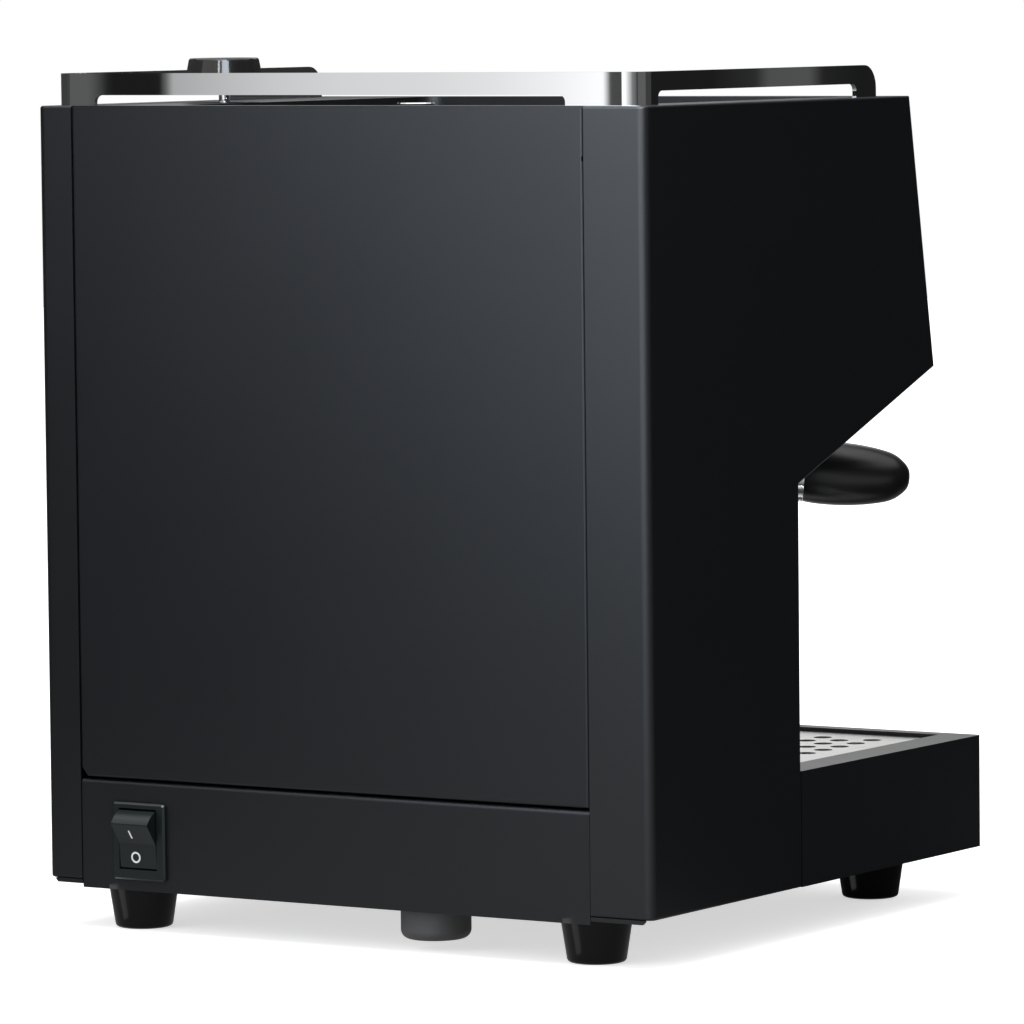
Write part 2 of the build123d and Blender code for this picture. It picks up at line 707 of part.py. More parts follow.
def group_head():
    """Cast ring with a bayonet, carried by a neck under the boiler."""
    low = up(group_bottom)
    ring = turned([(0, gasket_z + gasket_thickness), (cavity_radius, gasket_z + gasket_thickness),
                   (cavity_radius, low + lip_height), (lip_radius, low + lip_height), (lip_radius, low),
                   (group_radius - 1, low), (group_radius, low + 1), (group_radius, ring_top - 2),
                   (group_radius - 2, ring_top), (neck_radius, ring_top), (neck_radius, up(bracket_height)),
                   (0, up(bracket_height))])
    # Two entry notches in the lip, where the portafilter's lugs pass.
    entry = handle_rest_angle + entry_extra
    for side in (0, 180):
        notch = Rot(Z=side - entry) * block((0, cavity_radius), (-lug_half - 1, lug_half + 1),
                                          (low - 1, low + lip_height))
        ring -= notch
    # Webs of the casting between the neck and the ring.
    web_top = up(bracket_height) - sheet - 1
    root, reach = neck_radius - 1, group_radius - 3
    web = prism_x([(root, ring_top - 1), (reach, ring_top - 1), (reach, ring_top + 3),
                   (root + 2, web_top), (root, web_top)], (-2.5, 2.5))
    for turn in range(30, 390, 60):
        ring += Rot(Z=turn) * web
    ring += turned([(0, gasket_z + 1.0), (basket_radius - 4, gasket_z + 1.0),
                    (basket_radius - 4, gasket_z + gasket_thickness + 1), (0, gasket_z + gasket_thickness + 1)])
    return group * ring


entry_extra = 15.0
lug_half = lug_radius * sin(radians(lug_sweep / 2))


def group_gasket():
    """Rubber ring that the basket's rim presses on."""
    inner, outer = basket_radius - 3.0, cavity_radius - 0.4
    return group * turned([(inner, gasket_z), (outer, gasket_z), (outer, gasket_z + gasket_thickness),
                           (inner, gasket_z + gasket_thickness)])


def shower_screen():
    """Dished screen held flat against the group by one screw."""
    radius = basket_radius - 4
    low, high = gasket_z - 0.2, gasket_z + 1.0
    screen = turned([(2.6, low), (radius, low), (radius, high), (2.6, high)])
    return group * (screen - Pos(0, 0, low - 1) * hole_rings((8.5, 13, 17.5, 22), 0.9, 3))


def hole_rings(rings, radius, depth):
    """Cutter for rings of small holes, each ring with holes in proportion."""
    spots = []
    for ring in rings:
        count = int(ring * 1.25)
        for k in range(count):
            turn = radians(360 * k / count)
            spots.append(Pos(ring * cos(turn), ring * sin(turn)) * Circle(radius))
    return extrude(Sketch() + spots, amount=depth)


def shower_screw():
    """Countersunk screw of the shower screen."""
    low, high = gasket_z - 2.2, gasket_z + 1.0
    return group * turned([(0, low), (5, low), (5, low + 1), (2.5, low + 2), (2.5, high), (0, high)])


def turned_with_handle(solid):
    """Turns a piece drawn with its handle straight forward to rest."""
    return group * (Rot(Z=-handle_rest_angle) * solid)


handle_drop = sin(radians(handle_slope))
handle_frame = Plane(origin=(0, -ring_reach, up(handle_height)), x_dir=(1, 0, 0),
                     z_dir=(0, -cos(radians(handle_slope)), -handle_drop))


def handle_piece(outline):
    """Piece turned about the handle's axis from (reach, radius) points."""
    face = make_face(Polyline([(r, 0, reach - ring_reach) for reach, r in outline], close=True))
    return turned_with_handle(handle_frame * revolve(face, Axis.Z))


def portafilter_body():
    """Cast bowl with two lugs and the socket of the handle."""
    low, high = up(holder_bottom), up(holder_top)
    bowl = turned([(0, low), (holder_radius, low), (holder_radius, high), (holder_radius - holder_wall, high),
                   (holder_radius - holder_wall, low + 4), (0, low + 4)])
    circles = bowl.edges().filter_by(GeomType.CIRCLE).group_by(Axis.Z)
    bowl = fillet(circles[0], 8.0)
    circles = bowl.edges().filter_by(GeomType.CIRCLE)
    bowl = fillet(circles.filter_by_position(Axis.Z, low + 3.9, low + 4.1), 5.0)
    lug_low = up(group_bottom + lip_height)
    lugs = block((-lug_radius, lug_radius), (-lug_half, lug_half), (lug_low, lug_low + lug_height))
    lugs &= rod(0, 0, (lug_low, lug_low + lug_height), lug_radius)
    lugs -= rod(0, 0, (lug_low - 1, lug_low + lug_height + 1), holder_radius - 1)
    neck_start = holder_radius - 1.5
    socket = handle_frame * revolve(make_face(Polyline(
        [(0, 0, neck_start - ring_reach), (8.6, 0, neck_start - ring_reach), (8.0, 0, 40 - ring_reach),
         (7.2, 0, grip_root - 9 - ring_reach), (7.2, 0, grip_root - 7 - ring_reach),
         (9.0, 0, grip_root - 6 - ring_reach), (9.8, 0, grip_root - 4 - ring_reach),
         (9.8, 0, grip_root - ring_reach), (0, 0, grip_root - ring_reach)], close=True)), Axis.Z)
    spout_hole = rod(0, 0, (low - 1, low + 5), 4)
    core = rod(0, 0, (low - 1, high + 1), holder_radius - holder_wall)
    return turned_with_handle(bowl + lugs + (socket - core) - spout_hole)


def filter_basket():
    """Pressed basket that hangs by its rim in the portafilter."""
    rim = up(holder_top)
    low = rim - basket_depth
    inner = basket_radius - basket_wall
    basket = turned([(0, low), (basket_radius - 3, low), (basket_radius, low + 3), (basket_radius, rim),
                     (holder_radius - 0.6, rim), (holder_radius - 0.6, rim + 1), (inner, rim + 1),
                     (inner, low + 3.4), (basket_radius - 3.4, low + basket_wall), (0, low + basket_wall)])
    return turned_with_handle(basket - Pos(0, 0, low - 1) * hole_rings((4, 8.5, 13, 17.5, 22), 0.8, 3))


def portafilter_spout():
    """Twin spout screwed under the bowl."""
    low = up(holder_bottom)
    boss = turned([(0, low - 9), (8, low - 9), (9, low - 6), (9, low), (0, low)])
    tip = up(spout_bottom)
    arms = boss
    for side in (-1, 1):
        x = side * spout_spread
        arms += pipe([(0, 0, low - 6), (x, 0, low - 14), (x, 0, tip)], 6.0, 5.0)
    for side in (-1, 1):
        arms -= rod(side * spout_spread, 0, (tip - 1, tip + 12), 3.4)
    return turned_with_handle(arms)


def handle_front_grip():
    """Moulded grip between the socket and the ring."""
    end = ring_reach - ring_width
    return handle_piece([(grip_root, 0), (grip_root, 10.4), (grip_root + 3, 11.6), (grip_root + 16, 12.9),
                         (end - 14, 13.4), (end, 13.2), (end, 0)])


def handle_ring():
    """Bright ring with one fine groove."""
    start, groove = ring_reach - ring_width, ring_reach - 1.3
    return handle_piece([(start, 0), (start, 13.5), (start + 0.3, 13.8), (groove - 0.15, 13.8),
                         (groove - 0.15, 13.3), (groove + 0.15, 13.3), (groove + 0.15, 13.8),
                         (ring_reach - 0.3, 13.8), (ring_reach, 13.5), (ring_reach, 0)])


def handle_grip():
    """Rounded end of the handle."""
    tip = handle_reach - ring_reach
    curve = Spline((13.4, 0, 0), (14.2, 0, 7.4), (13.95, 0, 21.4), (11.95, 0, 35.1), (10.15, 0, 40.6),
                   (6.75, 0, tip - 2.6), (0, 0, tip), tangents=[(0.2, 0, 1), (-1, 0, 0)])
    face = make_face([curve, Line((0, 0, tip), (0, 0, 0)), Line((0, 0, 0), (13.4, 0, 0))])
    return turned_with_handle(handle_frame * revolve(face, Axis.Z))


# ----------------------------------------------------------- steam valve, wand
knob_low = top_z + knob_top - knob_thickness
valve_y = at(knob_depth)
valve_top = top_z - 2 * sheet
valve_bottom = valve_top - 42
valve_inlet_up = 16.0


def steam_knob():
    """Plain round knob, hollow underneath, with ribs round the spindle's boss."""
    high = top_z + knob_top
    r = knob_radius
    boss, roof, rib = spindle_radius + 2.5, high - 3.0, 1.2
    knob = turned([(0, knob_low), (boss, knob_low), (boss, roof), (r - knob_taper - 2.4, roof),
                   (r - 2.4, knob_low), (r - 0.8, knob_low), (r, knob_low + 1),
                   (r - knob_taper, high), (0, high)])
    knob = fillet(knob.edges().filter_by(GeomType.CIRCLE).group_by(Axis.Z)[-1], 1.4)
    for turn in range(0, 360, 60):
        knob += Rot(Z=turn) * block((boss - 0.5, r - knob_taper - 2.0), (-rib / 2, rib / 2),
                                    (knob_low + 2, roof + 0.5))
    knob -= rod(0, 0, (knob_low - 1, knob_low + 8), spindle_radius)
    return Pos(knob_x, valve_y, 0) * knob


def steam_spindle():
    """Spindle between the knob and the valve's seat."""
    return rod(knob_x, valve_y, (valve_top - 24, knob_low + 8), spindle_radius)


def steam_valve():
    """Brass valve hung under the shelf's rim."""
    body = turned([(0, valve_bottom), (6, valve_bottom), (6, valve_bottom + 6), (9.5, valve_bottom + 9),
                   (9.5, valve_top - 12), (7.5, valve_top - 11), (7.5, valve_top), (0, valve_top)])
    bonnet = turned([(0, valve_top - 10), (9.8, valve_top - 10), (11, valve_top - 9), (11, valve_top - 1),
                     (9.8, valve_top), (0, valve_top)])
    body += bonnet & Pos(0, 0, valve_top - 10) * extrude(RegularPolygon(11, 6), amount=10)
    body += Pos(0, 0, valve_bottom) * extrude(RegularPolygon(8, 6), amount=5)
    inlet = Pos(0, 0, valve_bottom + valve_inlet_up) * Rot(Y=-90)
    body += inlet * Pos(0, 0, 14) * Cylinder(5, 16)
    body += inlet * Pos(0, 0, 16) * extrude(RegularPolygon(7, 6), amount=5)
    body -= rod(0, 0, (valve_top - 24 - ease, valve_top + 1), spindle_radius + fit)
    return Pos(knob_x, valve_y, 0) * body


wand_y = at(wand_depth)
wand_top = up(throat_height + slope * (wand_depth - throat_depth)) + 2
wand_bend_top = wand_top - 18
wand_bend_low = wand_bend_top - 34
wand_tip_z = up(wand_tip_height)
tip_length = 16.0


def steam_pipes():
    """Copper pipes from the boiler to the valve and from there to the wand."""
    boiler_top = up(bracket_height + boiler_flange + boiler_height)
    y, z = at(boiler_depth - 8), valve_bottom + valve_inlet_up
    feed = pipe([(22, y, boiler_top), (22, y, z), (pipe_x, y, z), (pipe_x, valve_y, z),
                 (knob_x - 22, valve_y, z)], 4.0, 3.0)
    drop = pipe([(knob_x, valve_y, valve_bottom), (knob_x, valve_y, valve_bottom - 30),
                 (wand_x, wand_y, valve_bottom - 30), (wand_x, wand_y, wand_top + 22)], 12.0, 3.0)
    return [feed, drop]


def wand_nut():
    """Swivel nut of the wand, fixed in the head's underside."""
    nut = turned([(0, wand_top + 22), (5, wand_top + 22), (wand_nut_radius, wand_top + 18),
                  (wand_nut_radius, wand_top - 8), (wand_nut_radius - 2, wand_top - 10), (0, wand_top - 10)])
    nut &= Pos(0, 0, wand_top - 10) * extrude(RegularPolygon(wand_nut_radius, 6), amount=32)
    nut -= rod(0, 0, (wand_top - 11, wand_top + 4), wand_radius + fit)
    return Pos(wand_x, wand_y, 0) * nut


def steam_wand():
    """Bent tube that swings in the nut."""
    out, forward = wand_reach
    low = (wand_x + out, wand_y - forward)
    end = wand_tip_z + tip_length
    return pipe([(wand_x, wand_y, wand_top + 3), (wand_x, wand_y, wand_bend_top),
                 (*low, wand_bend_low), (*low, end)], 14.0, wand_radius)


def wand_sleeve():
    """Rubber sleeve to hold the hot tube by."""
    x, y = wand_x + wand_reach[0], wand_y - wand_reach[1]
    middle = (wand_tip_z + tip_length + wand_bend_low) / 2 - 4
    sleeve = turned([(wand_radius, middle - 15), (8, middle - 15), (9, middle - 12), (8, middle + 12),
                     (7, middle + 15), (wand_radius, middle + 15)])
    return Pos(x, y, 0) * sleeve


def steam_tip():
    """Nozzle at the end of the wand."""
    x, y = wand_x + wand_reach[0], wand_y - wand_reach[1]
    tip = turned([(0, wand_tip_z), (3.5, wand_tip_z), (6.2, wand_tip_z + 5), (6.2, wand_tip_z + tip_length),
                  (0, wand_tip_z + tip_length)])
    return Pos(x, y, 0) * tip


# ------------------------------------------------------------- front fittings
def button_bezels():
    """Bezels with barrels that guide the three buttons."""
    inner = button_radius + 2 * fit
    ring = turned([(inner, -18), (bezel_radius - 1, -18), (bezel_radius - 1, 0), (bezel_radius, 0),
                   (bezel_radius, 2), (bezel_radius - 1.2, 3), (inner, 3)])
    return [on_front(x, button_up, ring) for x in button_xs.values()]


def push_button(x):
    """Push button that stands proud of its bezel."""
    r = button_radius
    cap = turned([(0, -12), (r, -12), (r, 5.4), (r - 0.6, 6), (r - 1.8, 6), (r - 4, 5.3), (0, 4.9)])
    return on_front(x, button_up, cap)


def indicator_lamps():
    """Three lamp lenses under the buttons."""
    lens = turned([(0, -10), (lamp_radius, -10), (lamp_radius, 0), (lamp_radius + 0.8, 0), (lamp_radius, 1.2),
                   (lamp_radius - 2, 2), (0, 2.2)])
    return [on_front(x, button_up - lamp_drop, lens) for x in button_xs.values()]


def gauge_case():
    """Cup of the pressure gauge with its bezel."""
    r = gauge_radius
    case = turned([(0, -gauge_depth), (r, -gauge_depth), (r, 0), (r + 3, 0), (r + 3, 2), (r + 1, 4),
                   (r - 3, 4), (r - 3, 2.2), (r - 1.5, 2.2), (r - 1.5, 2 - gauge_depth), (0, 2 - gauge_depth)])
    return on_front(gauge_x, gauge_up, case)


def gauge_dial():
    """Dial plate with its boss."""
    r, foot = gauge_radius - 1.5, 2 - gauge_depth
    dial = turned([(0, foot), (6, foot), (6, -5), (r, -5), (r, -4), (1.1, -4), (1.1, -6), (0, -6)])
    return on_front(gauge_x, gauge_up, dial)


def gauge_needle():
    """Needle with its arbor, at rest at the low end of the scale."""
    needle = turned([(0, -6), (1.05, -6), (1.05, -3.2), (3, -3.2), (3, -1.6), (0, -1.6)])
    blade = make_face(Polyline([(-1.4, -6, 0), (1.4, -6, 0), (0.4, 18, 0), (-0.4, 18, 0)], close=True))
    needle += Pos(0, 0, -2.8) * extrude(blade, amount=0.8)
    return on_front(gauge_x, gauge_up, Rot(Z=135) * needle)


def gauge_lens():
    """Clear disc held behind the bezel's lip."""
    r = gauge_radius - 1.5
    return on_front(gauge_x, gauge_up, turned([(0, 0.7), (r, 0.7), (r, 2.2), (0, 2.2)]))


# ---------------------------------------------------------------- inside parts
bulkhead_y = (at(bulkhead_depth + sheet), at(bulkhead_depth))
bracket_z = up(bracket_height)


def inner_frame():
    """Bulkhead with the tank's shelf behind it and the boiler's bracket before it."""
    wide = half - sheet - seam
    frame = block((-wide, wide), bulkhead_y, (up(2 * sheet), shelf_z - 2 * sheet))
    shelf = (-tank_half_width - 6, tank_half_width + 6)
    frame += block(shelf, (bulkhead_y[1], tank_y[1]), (tank_shelf_z - sheet, tank_shelf_z))
    for x in shelf:
        side = (x, x + sheet) if x < 0 else (x - sheet, x)
        frame += block(side, (bulkhead_y[1], tank_y[1]), (tank_shelf_z - 14, tank_shelf_z))
    frame -= rod(0, (tank_y[0] + tank_y[1]) / 2, (tank_shelf_z - 20, tank_shelf_z + 1), nipple_radius + 1 + fit)
    for x in ((-wide, -wide + sheet), (wide - sheet, wide)):
        frame += block(x, (bulkhead_y[0] - return_depth, bulkhead_y[0]), (up(2 * sheet), shelf_z - 2 * sheet))
    arm = 96.0
    bracket_y = (at(boiler_depth + boiler_flange_radius - 1), bulkhead_y[0])
    frame += block((-arm, arm), bracket_y, (bracket_z - sheet, bracket_z))
    frame -= rod(0, at(group_depth), (bracket_z - 4, bracket_z + 1), neck_radius + 0.5)
    for x, y in bolt_places:
        frame -= rod(x, y, (bracket_z - 4, bracket_z + 1), bolt_radius + 0.1)
    through = (bulkhead_y[0] - 1, bulkhead_y[1] + 1)
    water_window = block((pump_x - 13, pump_x + 12), through, (up(190), up(216)))
    steam_window = block((tank_half_width + 1, knob_x + 14), through, (valve_bottom - 50, valve_bottom + 25))
    for window in (water_window, steam_window):
        frame -= fillet(window.edges().filter_by(Axis.Y), 4.0)
    return frame


bolt_places = [(bolt_circle * cos(radians(a)), at(boiler_depth) + bolt_circle * sin(radians(a)))
               for a in (20, 160, 200, 340)]


def boiler():
    """Brass boiler with a bolted flange at its foot."""
    low = bracket_z
    body = turned([(0, low), (boiler_flange_radius, low), (boiler_flange_radius, low + boiler_flange),
                   (boiler_radius, low + boiler_flange), (boiler_radius, low + boiler_flange + boiler_height),
                   (0, low + boiler_flange + boiler_height)])
    body = fillet(body.edges().filter_by(GeomType.CIRCLE).group_by(Axis.Z)[-1], 9.0)
    inlet = Pos(-boiler_radius + 2, 0, low + 24) * Rot(Y=-90)
    body += inlet * Cylinder(4.5, 16)
    body += inlet * Pos(0, 0, 1) * extrude(RegularPolygon(7, 6), amount=5)
    body = Pos(0, at(boiler_depth), 0) * body
    for x, y in bolt_places:
        body -= rod(x, y, (low - 1, low + boiler_flange + 1), bolt_radius + 0.1)
    return body


def boiler_bolts():
    """Four bolts through the flange and the bracket."""
    bolts = []
    for x, y in bolt_places:
        high = bracket_z + boiler_flange
        bolts.append(rod(x, y, (bracket_z - 6, high), bolt_radius)
                     + rod(x, y, (high, high + 4), bolt_head_radius)
                     + rod(x, y, (bracket_z - sheet - 3, bracket_z - sheet), bolt_head_radius))
    return bolts


def heating_element():
    """Element head on top of the boiler with its two terminals."""
    low = bracket_z + boiler_flange + boiler_height
    y = at(boiler_depth)
    head = Pos(0, y, low) * extrude(RegularPolygon(13, 6), amount=6)
    head &= rod(0, y, (low, low + 6), 12.4)
    for x in (-6, 6):
        head += rod(x, y, (low + 6, low + 8), 3.4)
        head += rod(x, y, (low + 8, low + 15), 2.2)
        head += block((x - 0.4, x + 0.4), (y - 3.1, y + 3.1), (low + 14, low + 22))
    return head


def thermostats():
    """Two thermostats screwed to the boiler's top."""
    low = bracket_z + boiler_flange + boiler_height
    y = at(boiler_depth + 20)
    pair = []
    for x in (-11, 11):
        switch = rod(x, y, (low, low + 1.2), 9) + rod(x, y, (low, low + 8), 7.5)
        switch = fillet(switch.edges().filter_by(GeomType.CIRCLE).group_by(Axis.Z)[-1], 1.0)
        for side in (-3, 3):
            switch += block((x + side - 0.4, x + side + 0.4), (y - 3.1, y + 3.1), (low + 7, low + 15))
        pair.append(switch)
    return pair


def pump():
    """Vibration pump lying front to back near the left side."""
    middle = Pos(pump_x, at(pump_depth), up(pump_height))
    coil = fillet(Box(44, 36, 42).edges().filter_by(Axis.Y), 5.0)
    yoke = Box(48, 26, 46) - Box(44, 30, 42) + coil
    ends = Rot(X=90) * turned([(0, -pump_length / 2 + 6), (pump_radius - 3, -pump_length / 2 + 6),
                               (pump_radius, -pump_length / 2 + 9), (pump_radius, pump_length / 2 - 9),
                               (pump_radius - 3, pump_length / 2 - 6), (0, pump_length / 2 - 6)])
    end = pump_length / 2
    barb = Rot(X=90) * turned([(0, -end), (4, -end), (4.6, 3 - end), (4, 3 - end), (4.6, 6 - end), (4, 6 - end),
                               (4, end), (0, end)])
    outlet = Rot(X=90) * Pos(0, 0, pump_length / 2 - 6) * extrude(RegularPolygon(7.5, 6), amount=4)
    return middle * (yoke + ends + barb + outlet)


def pump_mounts():
    """Two rubber cradles between the pump and the floor."""
    mounts = []
    z = up(pump_height)
    for depth in (pump_depth - 29, pump_depth + 29):
        cradle = block((pump_x - 20, pump_x + 20), (at(depth + 5), at(depth - 5)),
                       (up(2 * sheet), z + pump_radius + 5))
        cradle -= Pos(pump_x, at(depth), z) * Rot(X=90) * Cylinder(pump_radius, 12)
        mounts.append(cradle)
    return mounts


def solenoid_valve():
    """Three-way valve on the boiler's bracket."""
    x, y = 76.0, at(boiler_depth)
    body = block((x - 13, x + 13), (y - 13, y + 13), (bracket_z, bracket_z + 22))
    coil = block((x - 14, x + 14), (y - 15, y + 15), (bracket_z + 24, bracket_z + 52))
    coil = fillet(coil.edges().filter_by(Axis.Z), 5.0)
    coil = fillet(coil.faces().sort_by(Axis.Z)[-1].edges(), 1.5)
    body += rod(x, y, (bracket_z + 22, bracket_z + 24), 8) + coil
    body += Pos(x, y, bracket_z + 52) * extrude(RegularPolygon(8, 6), amount=5)
    body += rod(x, y, (bracket_z + 57, bracket_z + 60), 4)
    for side in (-4, 4):
        body += block((x + side - 3.1, x + side + 3.1), (y - 22, y - 14), (bracket_z + 46, bracket_z + 46.8))
    body += Pos(x - 16, y, bracket_z + 11) * Rot(Y=90) * Cylinder(4, 8)
    return body


def water_lines():
    """Hose from the tank to the pump, and pipe from the pump to the boiler."""
    z = up(pump_height)
    seat_y = (tank_y[0] + tank_y[1]) / 2
    seat_low = tank_floor - nipple_length - 3
    back = at(pump_depth - pump_length / 2)
    front = at(pump_depth + pump_length / 2)
    boiler_y = at(boiler_depth)
    suction = pipe([(0, seat_y, seat_low), (0, seat_y, z + 36), (pump_x, seat_y, z + 36),
                    (pump_x, back + 5, z + 36), (pump_x, back + 5, z), (pump_x, back, z)], 4.0, 3.0)
    pressure = pipe([(pump_x, front, z), (pump_x, front - 5, z), (pump_x, front - 5, up(205)),
                     (pump_x, boiler_y, up(205)), (pump_x, boiler_y, bracket_z + 24),
                     (-boiler_radius - 6, boiler_y, bracket_z + 24)], 4.0, 2.0)
    return [suction, pressure]


pieces = {
    "side_panel_left": side_panel(left_back_flange),
    "side_panel_right": mirror(side_panel(right_back_flange), about=Plane.YZ),
    "base_pan": base_pan(),
    "rear_panel": rear_panel(),
    "front_fascia": front_fascia(),
    "underside_panel": underside_panel(),
    "splash_panel": splash_panel(),
    "top_tray": top_tray(),
    "cup_rail": cup_rail(),
    "inner_frame": inner_frame(),
    "water_tank": water_tank(),
    "tank_valve_seat": tank_valve_seat(),
    "tank_lid": tank_lid(),
    "tank_lid_knob": tank_lid_knob(),
    "foot_screws": foot_screws(),
    "cord_gland": cord_gland(),
    "switch_bezel": switch_bezel(),
    "power_rocker": power_rocker(),
    "drip_tray_box": drip_tray_box(),
    "drip_tray": drip_tray(),
    "drip_grille": drip_grille(),
    "group_head": group_head(),
    "group_gasket": group_gasket(),
    "shower_screen": shower_screen(),
    "shower_screw": shower_screw(),
    "portafilter_body": portafilter_body(),
    "filter_basket": filter_basket(),
    "portafilter_spout": portafilter_spout(),
    "handle_front_grip": handle_front_grip(),
    "handle_ring": handle_ring(),
    "handle_grip": handle_grip(),
    "steam_knob": steam_knob(),
    "steam_spindle": steam_spindle(),
    "steam_valve": steam_valve(),
    "steam_pipes": steam_pipes(),
    "wand_nut": wand_nut(),
    "steam_wand": steam_wand(),
    "wand_sleeve": wand_sleeve(),
    "steam_tip": steam_tip(),
    "button_bezels": button_bezels(),
    "indicator_lamps": indicator_lamps(),
    "gauge_case": gauge_case(),
    "gauge_dial": gauge_dial(),
    "gauge_needle": gauge_needle(),
    "gauge_lens": gauge_lens(),
    "boiler": boiler(),
    "boiler_bolts": boiler_bolts(),
    "heating_element": heating_element(),
    "thermostats": thermostats(),
    "pump": pump(),
    "pump_mounts": pump_mounts(),
    "solenoid_valve": solenoid_valve(),
    "water_lines": water_lines(),
}
pieces |= {name: foot(place) for name, place in foot_places.items()}
pieces |= {name: push_button(x) for name, x in button_xs.items()}

os.makedirs("parts", exist_ok=True)
for name, piece in pieces.items():
    if isinstance(piece, list):
        piece = Compound(children=[Part() + p for p in piece])
    export_step(piece, f"parts/{name}.step")
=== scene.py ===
"""Finishes, studio and printed marks of the espresso machine, around its CAD frame.

Lengths are in metres.
"""
import json
from math import cos, radians, sin

import bpy
from mathutils import Matrix, Vector


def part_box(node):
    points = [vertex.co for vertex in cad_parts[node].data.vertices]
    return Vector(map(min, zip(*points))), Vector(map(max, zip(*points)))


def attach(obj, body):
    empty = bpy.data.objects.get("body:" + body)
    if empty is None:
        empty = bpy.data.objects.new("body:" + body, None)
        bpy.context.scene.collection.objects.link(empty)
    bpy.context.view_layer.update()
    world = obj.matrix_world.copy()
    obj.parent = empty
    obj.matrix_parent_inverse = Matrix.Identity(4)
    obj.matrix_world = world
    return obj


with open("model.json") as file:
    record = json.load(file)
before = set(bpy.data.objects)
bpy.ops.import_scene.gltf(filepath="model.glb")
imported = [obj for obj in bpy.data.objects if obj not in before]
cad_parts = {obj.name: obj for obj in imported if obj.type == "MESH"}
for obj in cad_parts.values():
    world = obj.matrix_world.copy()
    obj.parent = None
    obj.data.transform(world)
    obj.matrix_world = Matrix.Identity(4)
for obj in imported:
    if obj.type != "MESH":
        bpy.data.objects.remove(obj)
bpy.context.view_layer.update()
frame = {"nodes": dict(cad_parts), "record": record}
nodes = frame["nodes"]
bpy.ops.object.select_all(action="DESELECT")


# ------------------------------------------------------------------ finishes
def new_material(name):
    """Principled material and its shader."""
    material = bpy.data.materials.new(name)
    material.use_nodes = True
    return material, material.node_tree.nodes["Principled BSDF"]


def add(material, kind, **settings):
    """Adds a shader node and sets its inputs or properties."""
    node = material.node_tree.nodes.new(kind)
    for key, value in settings.items():
        if key in node.inputs:
            node.inputs[key].default_value = value
        else:
            setattr(node, key, value)
    return node


def add_range(material, low, high):
    """Node that maps 0 to 1 onto a range."""
    node = add(material, "ShaderNodeMapRange")
    node.inputs["To Min"].default_value = low
    node.inputs["To Max"].default_value = high
    return node


def link(material, source, target):
    """Joins an output socket to an input socket."""
    material.node_tree.links.new(source, target)


def grain(material, shader, size, depth, distance):
    """Fine bump over the whole surface; size is the width of one grain, distance its height."""
    place = add(material, "ShaderNodeTexCoord")
    noise = add(material, "ShaderNodeTexNoise", Scale=1.0 / size, Detail=3.0)
    bump = add(material, "ShaderNodeBump", Strength=depth, Distance=distance)
    link(material, place.outputs["Object"], noise.inputs["Vector"])
    link(material, noise.outputs["Fac"], bump.inputs["Height"])
    link(material, bump.outputs["Normal"], shader.inputs["Normal"])


def handled(material, shader, roughness, size, spread=0.18):
    """Gloss that varies a little from place to place, as on a wiped surface."""
    place = add(material, "ShaderNodeTexCoord")
    noise = add(material, "ShaderNodeTexNoise", Scale=1.0 / size, Detail=5.0, Distortion=0.6)
    between = add_range(material, roughness * (1 - spread), roughness * (1 + spread))
    link(material, place.outputs["Object"], noise.inputs["Vector"])
    link(material, noise.outputs["Fac"], between.inputs["Value"])
    link(material, between.outputs["Result"], shader.inputs["Roughness"])


def mottled(material, shader, dark, light, size):
    """Colour that drifts between two tones, as plain metal does."""
    place = add(material, "ShaderNodeTexCoord")
    noise = add(material, "ShaderNodeTexNoise", Scale=1.0 / size, Detail=6.0, Distortion=0.4)
    tones = add(material, "ShaderNodeValToRGB")
    for stop, spot, tone in zip(tones.color_ramp.elements, (0.35, 0.65), (dark, light)):
        stop.position = spot
        stop.color = (*tone, 1)
    link(material, place.outputs["Object"], noise.inputs["Vector"])
    link(material, noise.outputs["Fac"], tones.inputs["Fac"])
    link(material, tones.outputs["Color"], shader.inputs["Base Color"])


def plain(name, color, roughness, metallic=0.0, ior=1.5, wiped=0.02, through=0.0, specular=0.5):
    """Principled finish.

    Wiped is the size of its uneven gloss, 0 for none, and through is its clearness.
    """
    material, shader = new_material(name)
    shader.inputs["Base Color"].default_value = (*color, 1)
    shader.inputs["Roughness"].default_value = roughness
    shader.inputs["Metallic"].default_value = metallic
    shader.inputs["IOR"].default_value = ior
    shader.inputs["Specular IOR Level"].default_value = specular
    shader.inputs["Transmission Weight"].default_value = through
    if wiped:
        handled(material, shader, roughness, wiped)
    return material, shader


def grained(name, color, roughness, size, depth, distance, **settings):
    """Plain finish with a fine grain."""
    material, shader = plain(name, color, roughness, **settings)
    grain(material, shader, size, depth, distance)
    return material


def raw_metal(name, color, roughness, wiped, dark, light, size):
    """Bare metal whose tone drifts; size is the width of the drift. Gives its shader too."""
    material, shader = plain(name, color, roughness, metallic=1.0, wiped=wiped)
    mottled(material, shader, dark, light, size)
    return material, shader


def powder_coat(name, color, specular=0.5):
    """Satin black powder coat with a very fine orange peel."""
    roughness, patch, spread = 0.4, 0.03, 0.05
    material, shader = plain(name, color, roughness, wiped=0, specular=specular)
    handled(material, shader, roughness, patch, spread)
    grain(material, shader, 0.0009, 0.18, 0.00005)
    return material


